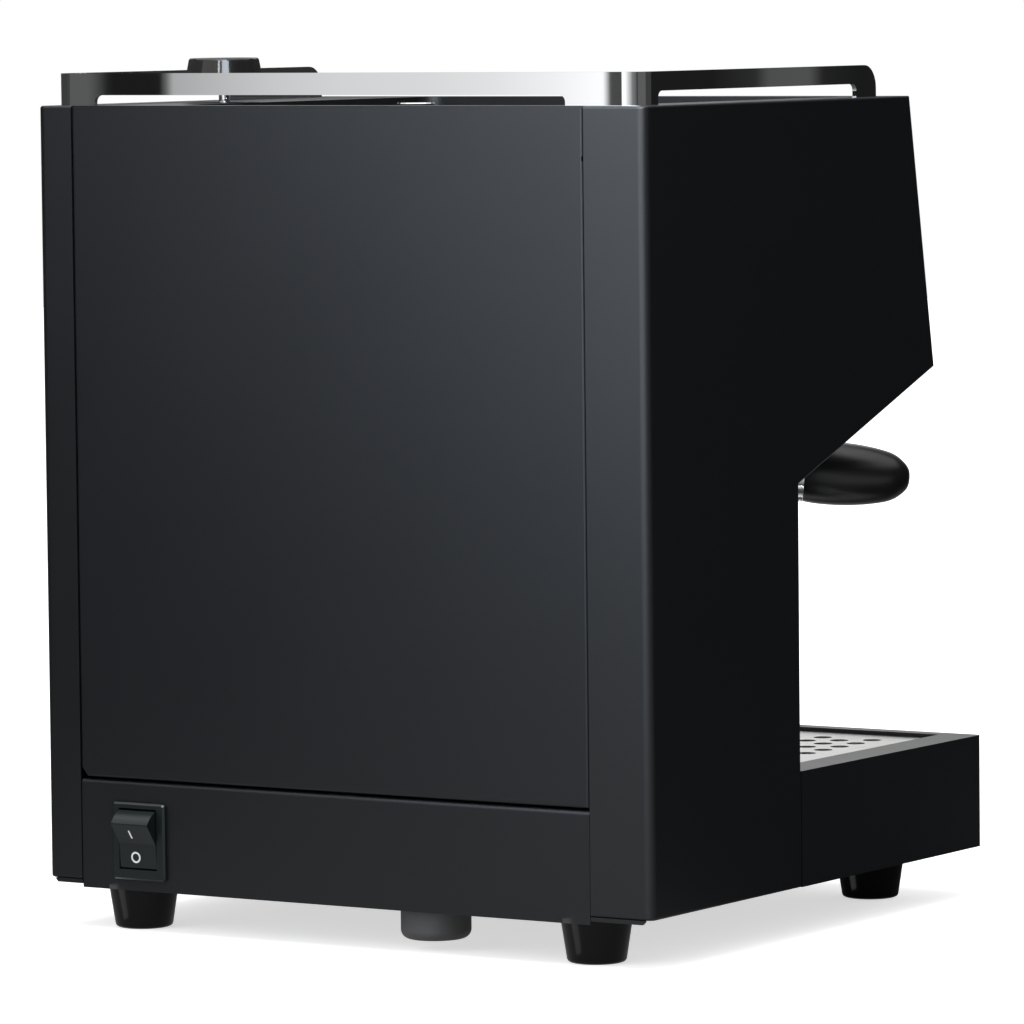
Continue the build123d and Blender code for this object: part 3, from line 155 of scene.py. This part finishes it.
def brushed_steel(name, direction):
    """Stainless with fine lines along one axis."""
    lines_per_metre, breaks_per_metre = 1400.0, 12.0
    material, shader = plain(name, (0.62, 0.62, 0.61), 0.28, metallic=1.0, wiped=0)
    place = add(material, "ShaderNodeTexCoord")
    stretch = add(material, "ShaderNodeMapping")
    stretch.inputs["Scale"].default_value = [
        breaks_per_metre if axis == direction else lines_per_metre for axis in "XYZ"
    ]
    lines = add(material, "ShaderNodeTexNoise", Scale=1.0, Detail=4.0)
    spread = add_range(material, 0.2, 0.4)
    bump = add(material, "ShaderNodeBump", Strength=0.12, Distance=0.00004)
    link(material, place.outputs["Object"], stretch.inputs["Vector"])
    link(material, stretch.outputs["Vector"], lines.inputs["Vector"])
    link(material, lines.outputs["Fac"], spread.inputs["Value"])
    link(material, spread.outputs["Result"], shader.inputs["Roughness"])
    link(material, lines.outputs["Fac"], bump.inputs["Height"])
    link(material, bump.outputs["Normal"], shader.inputs["Normal"])
    return material


# The side panels take a copy of the black powder coat painted darker, as painted shade for the shaded
# side faces, with a little more specular.
shaded_side_coat = powder_coat("black powder coat with painted shade, side panels", (0.0022, 0.0029, 0.0043), 0.57)
steel_up = brushed_steel("stainless brushed upright", "Z")
grip_black = grained("satin black grip", (0.004, 0.0038, 0.0035), 0.34, 0.0007, 0.1, 0.00004, ior=1.6)
knob_black = plain("steam knob plastic", (0.028, 0.028, 0.029), 0.12)[0]
switch_black = grained("switch plastic", (0.005, 0.0095, 0.0105), 0.3, 0.0005, 0.12, 0.00003)
foot_black = grained("moulded foot", (0.0035, 0.0035, 0.0037), 0.2, 0.0012, 0.08, 0.00004,
                     specular=0.22)
mark_white = plain("white mark", (0.8, 0.8, 0.8), 0.5, wiped=0.002)[0]
mark_black = plain("black print", (0.012, 0.012, 0.013), 0.6, wiped=0.002)[0]
brass, brass_shader = raw_metal("plain brass", (0.66, 0.45, 0.19), 0.32, 0.008,
                                (0.55, 0.36, 0.14), (0.7, 0.48, 0.21), 0.02)
grain(brass, brass_shader, 0.0008, 0.1, 0.00004)

# Each slot of the frame has one finish, and a few pieces then get their own; the side panels get the
# black coat darkened as painted shade.
finishes = {
    "black_coat": powder_coat("black powder coat", (0.0031, 0.0040, 0.0060)),
    "stainless": brushed_steel("stainless brushed across", "X"),
    "chrome": plain("polished chrome", (0.86, 0.87, 0.88), 0.022, metallic=1.0, wiped=0.04)[0],
    "black_plastic": grained("glossy black plastic", (0.008, 0.008, 0.0085), 0.16,
                             0.0015, 0.05, 0.00003),
    "grey_plastic": grained("dark grey moulding", (0.07, 0.07, 0.072), 0.55, 0.0006, 0.3, 0.0001),
    "brass": brass,
    "copper_pipe": raw_metal("drawn copper", (0.72, 0.36, 0.2), 0.3, 0.006,
                             (0.6, 0.27, 0.15), (0.76, 0.4, 0.23), 0.012)[0],
    "steel_fitting": raw_metal("plain steel", (0.55, 0.55, 0.55), 0.35, 0.006,
                               (0.45, 0.45, 0.46), (0.58, 0.58, 0.58), 0.01)[0],
    "hose": plain("silicone hose", (0.62, 0.62, 0.58), 0.4, through=0.35)[0],
    "rubber": grained("black rubber", (0.02, 0.02, 0.02), 0.7, 0.0008, 0.25, 0.0001),
    "tank_plastic": plain("clear tank plastic", (0.8, 0.86, 0.9), 0.12, through=0.85)[0],
    "gauge_glass": plain("gauge lens", (0.97, 0.98, 0.98), 0.02, through=1.0)[0],
    "dial": grained("dial enamel", (0.75, 0.75, 0.72), 0.5, 0.0004, 0.1, 0.00002, wiped=0.005),
    "needle": grained("needle paint", (0.45, 0.02, 0.015), 0.4, 0.0003, 0.1, 0.00002, wiped=0.004),
    "lamp": plain("amber lens", (0.75, 0.2, 0.03), 0.15, through=0.4)[0],
}
feet = ("foot_back_left", "foot_back_right", "foot_front_left", "foot_front_right")
own_finishes = (
    (("side_panel_left", "side_panel_right"), shaded_side_coat),
    (("handle_front_grip", "handle_grip"), grip_black),
    (("switch_bezel", "power_rocker"), switch_black),
    (("steam_knob",), knob_black),
    (feet, foot_black),
    (("splash_panel", "inner_frame"), steel_up),
)
for part in frame["record"]["subparts"]:
    mesh = nodes[part["node"]].data
    mesh.materials.clear()
    mesh.materials.append(finishes[part["material_slot"]])
for names, finish in own_finishes:
    for name in names:
        nodes[name].data.materials[0] = finish


# ------------------------------------------------------------------- studio
def math_node(tree, operation, first, second):
    """Output of a maths node; each operand is a socket or a number."""
    node = tree.nodes.new("ShaderNodeMath")
    node.operation = operation
    for socket, operand in zip(node.inputs, (first, second)):
        if isinstance(operand, (int, float)):
            socket.default_value = operand
        else:
            tree.links.new(operand, socket)
    return node.outputs[0]


# The world is white to the camera, in mirrors and through glass, and dimmer as a light.
world = bpy.data.worlds.new("white studio")
bpy.context.scene.world = world
world.use_nodes = True
sky_tree = world.node_tree
background = sky_tree.nodes["Background"]
background.inputs["Color"].default_value = (1, 1, 1, 1)
ray = sky_tree.nodes.new("ShaderNodeLightPath")
seen = math_node(sky_tree, "MAXIMUM", ray.outputs["Is Camera Ray"], ray.outputs["Is Glossy Ray"])
seen = math_node(sky_tree, "MAXIMUM", seen, ray.outputs["Is Transmission Ray"])
brightness = sky_tree.nodes.new("ShaderNodeMapRange")
brightness.inputs["To Min"].default_value = 0.55
brightness.inputs["To Max"].default_value = 1.0
sky_tree.links.new(seen, brightness.inputs["Value"])
sky_tree.links.new(brightness.outputs["Result"], background.inputs["Strength"])

# The floor reads as plain white to the camera and still takes the machine's shadow.
bpy.ops.mesh.primitive_circle_add(vertices=96, radius=6.0, fill_type="NGON", location=(0, 0, 0))
floor = bpy.context.object
floor.name = "studio_floor"
floor_paint, floor_shader = plain("pale floor", (0.86, 0.86, 0.86), 0.9, wiped=0, specular=0.0)
floor_shader.inputs["Emission Color"].default_value = (1, 1, 1, 1)
floor_tree = floor_paint.node_tree
floor_ray = add(floor_paint, "ShaderNodeLightPath")
floor_place = add(floor_paint, "ShaderNodeTexCoord")
floor_reach = add(floor_paint, "ShaderNodeVectorMath", operation="LENGTH")
floor_rise = add_range(floor_paint, 0.62, 1.0)
floor_rise.interpolation_type = "SMOOTHSTEP"
floor_rise.inputs["From Min"].default_value = 0.25
floor_rise.inputs["From Max"].default_value = 1.2
link(floor_paint, floor_place.outputs["Object"], floor_reach.inputs[0])
link(floor_paint, floor_reach.outputs["Value"], floor_rise.inputs["Value"])
floor_seen = math_node(floor_tree, "MAXIMUM",
                       floor_ray.outputs["Is Camera Ray"], floor_ray.outputs["Is Glossy Ray"])
floor_glow = math_node(floor_tree, "MULTIPLY", floor_seen, floor_rise.outputs["Result"])
link(floor_paint, floor_glow, floor_shader.inputs["Emission Strength"])
floor.data.materials.append(floor_paint)


def lamp(name, place, target, width, power, mirrored=True):
    """Soft square lamp that faces a point."""
    data = bpy.data.lights.new(name, "AREA")
    data.shape = "RECTANGLE"
    data.size = data.size_y = width
    data.energy = power
    thing = bpy.data.objects.new(name, data)
    bpy.context.scene.collection.objects.link(thing)
    thing.location = place
    thing.rotation_euler = (Vector(target) - Vector(place)).to_track_quat("-Z", "Y").to_euler()
    thing.visible_glossy = mirrored


body_middle = (0, 0, 0.2)
lamp("overhead_box", (0.2, 0.3, 2.2), body_middle, 1.8, 22.0)
lamp("rear_box", (1.2, 1.9, 1.1), body_middle, 1.4, 16.0, mirrored=False)
lamp("front_box", (-0.8, -2.2, 1.2), body_middle, 1.4, 14.0, mirrored=False)


def profile(tree, value, stops, length):
    """Piecewise line through (place, level) stops along a card, with its middle at 0."""
    scaled = tree.nodes.new("ShaderNodeMapRange")
    scaled.inputs["From Min"].default_value = -0.5
    scaled.inputs["From Max"].default_value = 0.5
    tree.links.new(value, scaled.inputs["Value"])
    ramp = tree.nodes.new("ShaderNodeValToRGB")
    peak = max(level for _, level in stops)
    line = ramp.color_ramp.elements
    while len(line) > 1:
        line.remove(line[-1])
    for k, (place, level) in enumerate(stops):
        spot = min(max((place + length / 2) / length, 0), 1)
        stop = line.new(spot) if k else line[0]
        stop.position = spot
        stop.color = (level / peak, level / peak, level / peak, 1)
    tree.links.new(scaled.outputs["Result"], ramp.inputs["Fac"])
    return math_node(tree, "MULTIPLY", ramp.outputs["Color"], peak)


def reflector(name, middle, target, size, glow=1.0, across=None, upward=None, color=(1, 1, 1)):
    """Card that only shows in reflections, turned towards a point.

    Its glow may follow a profile across and one upward, to the right and up as that point sees
    them; on a card that lies flat they run along X and Y.
    """
    toward = Vector(target) - Vector(middle)
    flat = abs(toward.z) > 0.99 * toward.length
    turn = (0, 0, 0) if flat else toward.to_track_quat("Z", "Y").to_euler()
    bpy.ops.mesh.primitive_plane_add(size=1.0, location=middle, rotation=turn)
    sheet = bpy.context.object
    sheet.name = name
    sheet.scale = (*size, 1)
    material = bpy.data.materials.new(name)
    material.use_nodes = True
    tree = material.node_tree
    tree.nodes.clear()
    output = tree.nodes.new("ShaderNodeOutputMaterial")
    emission = tree.nodes.new("ShaderNodeEmission")
    emission.inputs["Color"].default_value = (*color, 1)
    emission.inputs["Strength"].default_value = glow
    tree.links.new(emission.outputs[0], output.inputs["Surface"])
    place = tree.nodes.new("ShaderNodeTexCoord")
    split = tree.nodes.new("ShaderNodeSeparateXYZ")
    tree.links.new(place.outputs["Object"], split.inputs[0])
    strength = glow
    for axis, stops, length in (("X", across, size[0]), ("Y", upward, size[1])):
        if stops:
            level = profile(tree, split.outputs[axis], stops, length)
            strength = math_node(tree, "MULTIPLY", strength, level)
            tree.links.new(strength, emission.inputs["Strength"])
    sheet.data.materials.append(material)
    sheet.visible_camera = False
    sheet.visible_diffuse = False
    sheet.visible_transmission = False
    sheet.visible_volume_scatter = False
    sheet.visible_shadow = False


# Dark screens stand all round, and the lit cards hang in front of them.
half_wide, half_deep, screen_z, screen_high = 2.8, 2.2, 0.9, 3.0
room_middle = (0, 0, screen_z)
back_size, side_size = (2 * half_wide, screen_high), (2 * half_deep, screen_high)
reflector("rear_flag", (0, half_deep, screen_z), room_middle, back_size, 0.06)
reflector("front_flag", (0, -half_deep, screen_z), room_middle, back_size,
          across=((-half_wide, 1.1), (-1.3, 1.0), (-0.9, 0.55), (-0.2, 0.4), (0.1, 0.25), (0.48, 0.012),
                  (half_wide, 0.012)))
reflector("left_flag", (-half_wide, 0, screen_z), room_middle, side_size, 0.05)
reflector("right_flag", (half_wide, 0, screen_z), room_middle, side_size, 0.05)
reflector("floor_flag", (0, 0, 0.0006), (0, 0, 1), (2 * half_wide, 2 * half_deep),
          across=((-0.3, 0.5), (0.1, 0.5), (0.5, 0.15), (1.0, 0.05)),
          upward=((-0.4, 0.05), (0.0, 0.1), (0.2, 1.0)))
reflector("front_floor", (0.6, -1.2, 0.0009), (0.6, -1.2, 1), (2.6, 2.0),
          across=((-1.3, 0.02), (-0.9, 0.04), (-0.6, 0.4), (-0.2, 1.4), (1.3, 1.8)),
          upward=((-1.0, 1.0), (0.85, 1.0), (1.0, 0.2)))

# Narrow upright cards give each foot and the side rail their lines of light.
foot_light_z = 0.011
for name in feet:
    low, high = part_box(name)
    x, y = (low[0] + high[0]) / 2, (low[1] + high[1]) / 2
    reflector("light_by_" + name, (x + 0.0052, y + 0.0185, foot_light_z),
              (x + 0.0014, y + 0.0149, foot_light_z), (0.005, 0.018), 1.3)
reflector("rail_glint", (-0.7396, -1.0034, 0.33), (-0.151, -0.073, 0.37), (0.09, 0.3), 0.09,
          across=((-0.045, 0.12), (-0.02, 0.2), (-0.012, 1.0), (0.012, 0.95), (0.02, 0.3),
                  (0.045, 0.15)))

# Main light behind the machine, in three boxes one above the other. The middle one
# is what the bright rail mirrors, and its narrow dark slots are the rail's dark edges.
main_y = 0.57
sky = (0.82, 0.905, 1.0)
reflector("lower_box", (0, main_y, 0.145), (0, 0, 0.145), (1.0, 0.29), color=sky,
          across=((-0.45, 2.9), (-0.1, 2.8), (0.0, 2.5), (0.1, 1.6), (0.2, 0.65), (0.3, 0.3),
                  (0.39, 0.1), (0.4, 0.02)),
          upward=((-0.145, 0.25), (-0.05, 0.33), (0.03, 0.5), (0.09, 1.1), (0.145, 2.0)))
reflector("rail_box", (-0.0675, main_y, 0.355), (-0.0675, 0, 0.355), (1.065, 0.13),
          across=((-0.53, 0.11), (-0.29, 0.22), (-0.12, 0.7), (0.01, 1.15), (0.16, 1.15),
                  (0.1875, 0.35), (0.191, 0.07), (0.2012, 0.07),
                  (0.2028, 1.16), (0.2325, 1.0), (0.2675, 0.87), (0.3075, 0.79), (0.3625, 0.74),
                  (0.3995, 0.66), (0.4625, 0.45), (0.4675, 0.012), (0.5025, 0.012), (0.5145, 0.11)))
reflector("upper_box", (0, main_y, 0.92), (0, 0, 0.92), (1.0, 1.0), color=sky,
          across=((-0.5, 15.2), (-0.1, 13.0), (0.0, 9.5), (0.1, 5.9), (0.2, 3.0), (0.3, 1.8),
                  (0.39, 1.1), (0.42, 0.2)),
          upward=((-0.5, 0.6), (-0.4, 1.0), (0.3, 1.0), (0.5, 0.4)))
reflector("side_box", (-1.3, 0.5, 0.33), (0, 0.5, 0.33), (1.15, 0.36), 0.12,
          across=((-0.57, 0.3), (-0.4, 1.0), (0.45, 1.0), (0.57, 0.4)))

# The steam knob mirrors a patch and a thin strip between two grey flags.
knob_flag_y, knob_flag_z, knob_flag_high = 0.2, 0.45, 0.108
reflector("patch_light", (-0.3, 0.42, 0.47), (0.1157, 0.053, 0.375), (0.2, 0.16), 4.5)
for side, x, wide in (("right", 0.1475, 0.155), ("left", 0.0475, 0.025)):
    reflector("knob_flag_" + side, (x, knob_flag_y, knob_flag_z), (x, 0, knob_flag_z),
              (wide, knob_flag_high), 0.9)
reflector("strip_light", (-0.035, 0.5, 0.5), (0.04, 0.02, 0.4), (0.024, 0.16), 24.0)

# Top and front light, and a dark card that keeps the deck's glare down.
reflector("top_box", (0.25, -0.1, 1.9), (0.25, -0.1, 0), (1.6, 1.2), 1.6)
reflector("front_light", (0.95, -1.5, 1.1), (0, 0, 0.3), (0.9, 0.9), 1.6)
reflector("deck_flag", (0.2, -0.32, 0.43), (0.2, 1, 0.43), (0.8, 0.14), 0.03)


# -------------------------------------------------------------- printed marks
def apply_place(piece):
    """Writes a piece's place into its mesh."""
    bpy.ops.object.select_all(action="DESELECT")
    piece.select_set(True)
    bpy.context.view_layer.objects.active = piece
    bpy.ops.object.transform_apply(location=True, rotation=True, scale=True)


def settle(piece, name, place, body, finish):
    """Puts a finished piece in its place for good, and gives it its body and finish."""
    piece.name = name
    piece.data.name = name
    piece.matrix_world = place @ piece.matrix_world
    apply_place(piece)
    piece.data.materials.clear()
    piece.data.materials.append(finish)
    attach(piece, body)
    piece.select_set(False)


def facing(origin, upward, outward):
    """Frame at a point, with its own Y upward and its own Z out of the printed face."""
    out = Vector(outward).normalized()
    along = Vector(upward).normalized()
    side = along.cross(out)
    return Matrix((
        (side.x, along.x, out.x, origin[0]),
        (side.y, along.y, out.y, origin[1]),
        (side.z, along.z, out.z, origin[2]),
        (0, 0, 0, 1),
    ))


print_thick = 0.00012
soft_edge = 0.35 * print_thick


def bar(wide, long):
    """Printed bar with softened corners, lying on its back face."""
    bpy.ops.mesh.primitive_cube_add(size=1.0, location=(0, 0, print_thick / 2))
    piece = bpy.context.object
    piece.scale = (wide, long, print_thick)
    apply_place(piece)
    bpy.ops.object.mode_set(mode="EDIT")
    bpy.ops.mesh.select_all(action="SELECT")
    bpy.ops.mesh.bevel(offset=soft_edge, segments=2)
    bpy.ops.object.mode_set(mode="OBJECT")
    return piece


def ring(outer, inner):
    """Printed ring, lying on its back face."""
    bpy.ops.mesh.primitive_circle_add(vertices=48, radius=inner, location=(0, 0, 0))
    piece = bpy.context.object
    bpy.ops.object.mode_set(mode="EDIT")
    bpy.ops.mesh.select_all(action="SELECT")
    bpy.ops.mesh.extrude_edges_move()
    bpy.ops.transform.resize(value=(outer / inner, outer / inner, 1))
    bpy.ops.mesh.select_all(action="SELECT")
    bpy.ops.mesh.extrude_region_move(TRANSFORM_OT_translate={"value": (0, 0, print_thick)})
    bpy.ops.mesh.select_all(action="SELECT")
    bpy.ops.mesh.normals_make_consistent(inside=False)
    bpy.ops.object.mode_set(mode="OBJECT")
    return piece


def number(value, high):
    """Printed number, centred on the origin."""
    bpy.ops.object.text_add(location=(0, 0, 0))
    text = bpy.context.object.data
    text.body = str(value)
    text.size = high
    text.extrude = print_thick / 2
    text.align_x = "CENTER"
    text.align_y = "CENTER"
    text.resolution_u = 4
    bpy.ops.object.convert(target="MESH")
    piece = bpy.context.object
    bpy.ops.object.mode_set(mode="EDIT")
    bpy.ops.mesh.select_all(action="SELECT")
    bpy.ops.mesh.remove_doubles(threshold=0.000001)
    bpy.ops.mesh.normals_make_consistent(inside=False)
    bpy.ops.object.mode_set(mode="OBJECT")
    return piece


def joined(pieces):
    """One piece out of several."""
    bpy.ops.object.select_all(action="DESELECT")
    for piece in pieces:
        piece.select_set(True)
    bpy.context.view_layer.objects.active = pieces[0]
    bpy.ops.object.join()
    return pieces[0]


# On and off marks lie on the two faces of the rocker, which meet at an angle over its pivot.
joint_at = {joint["name"]: joint for joint in frame["record"]["behaviour"]["joints"]}
pivot = Vector(joint_at["power_rocker_tilt"]["pos_m"])
rest_tilt, face_slope = radians(20.0), radians(15.8)
face_out = 0.0056          # distance of the faces' meeting line from the pivot
face_rise = 3.0 / 10.6     # how far a face rises for its length


def on_rocker(along, x):
    """Frame on the rocker's face at a distance along from its pivot, upwards positive."""
    slope = face_slope if along > 0 else -face_slope
    turn = Matrix.Rotation(-rest_tilt, 4, "X")
    place = turn @ Vector((0, face_out + abs(along) * face_rise, along))
    upward = turn @ Vector((0, sin(slope), cos(slope)))
    outward = turn @ Vector((0, cos(slope), -sin(slope)))
    return facing((x, pivot.y + place.y, pivot.z + place.z), upward, outward)


on_place, on_wide, on_long = on_rocker(0.0052, 0.1075), 0.0008, 0.0045
off_place, off_outer, off_inner = on_rocker(-0.0059, 0.1072), 0.0025, 0.0017
settle(bar(on_wide, on_long), "rocker_on_mark", on_place, "rocker", mark_white)
settle(ring(off_outer, off_inner), "rocker_off_mark", off_place, "rocker", mark_white)

# Scale of the pressure gauge, from 0 at lower left round to 16 at lower right.
axle = Vector(joint_at["needle_turn"]["pos_m"])
inward = Vector(joint_at["needle_turn"]["axis"]).normalized()
dial_depth = 0.004
dial_face = facing(axle + inward * dial_depth, (0, -inward.z, inward.y), -inward)
first_turn, sweep = 135.0, 270.0
top_value, numbered_step = 16, 4
tick_end, number_radius, number_high = 0.0218, 0.0152, 0.0052
long_tick, short_tick = (0.0006, 0.0034), (0.0003, 0.002)


def dial_turn(value):
    """Turn of a value round the dial, from straight up."""
    return radians(first_turn - sweep * value / top_value)


ticks = []
for value in range(top_value + 1):
    wide, long = short_tick if value % numbered_step else long_tick
    tick = bar(wide, long)
    outward = Matrix.Translation((0, tick_end - long / 2, 0))
    tick.matrix_world = Matrix.Rotation(dial_turn(value), 4, "Z") @ outward
    apply_place(tick)
    ticks.append(tick)
settle(joined(ticks), "gauge_ticks", dial_face, "chassis", mark_black)

numbers = []
for value in range(0, top_value + 1, numbered_step):
    piece = number(value, number_high)
    turn = dial_turn(value)
    piece.location = (-number_radius * sin(turn), number_radius * cos(turn), print_thick / 2)
    apply_place(piece)
    numbers.append(piece)
settle(joined(numbers), "gauge_numbers", dial_face, "chassis", mark_black)

# ------------------------------------------------------------------- camera
eye = (-1.628, 2.5595, 0.4096)
yaw, pitch, roll = radians(32.459), radians(-4.36), radians(-0.604)
camera_data = bpy.data.cameras.new("studio_camera")
camera_data.lens = 240.4
camera_data.clip_end = 50
camera = bpy.data.objects.new("studio_camera", camera_data)
bpy.context.scene.collection.objects.link(camera)
forward = Vector((sin(yaw) * cos(pitch), -cos(yaw) * cos(pitch), sin(pitch)))
level_right = forward.cross(Vector((0, 0, 1))).normalized()
level_up = level_right.cross(forward)
right = level_right * cos(roll) + level_up * sin(roll)
up = right.cross(forward)
camera.matrix_world = Matrix((
    (right.x, up.x, -forward.x, eye[0]),
    (right.y, up.y, -forward.y, eye[1]),
    (right.z, up.z, -forward.z, eye[2]),
    (0, 0, 0, 1),
))
bpy.context.scene.camera = camera
bpy.context.scene.view_settings.view_transform = "Standard"
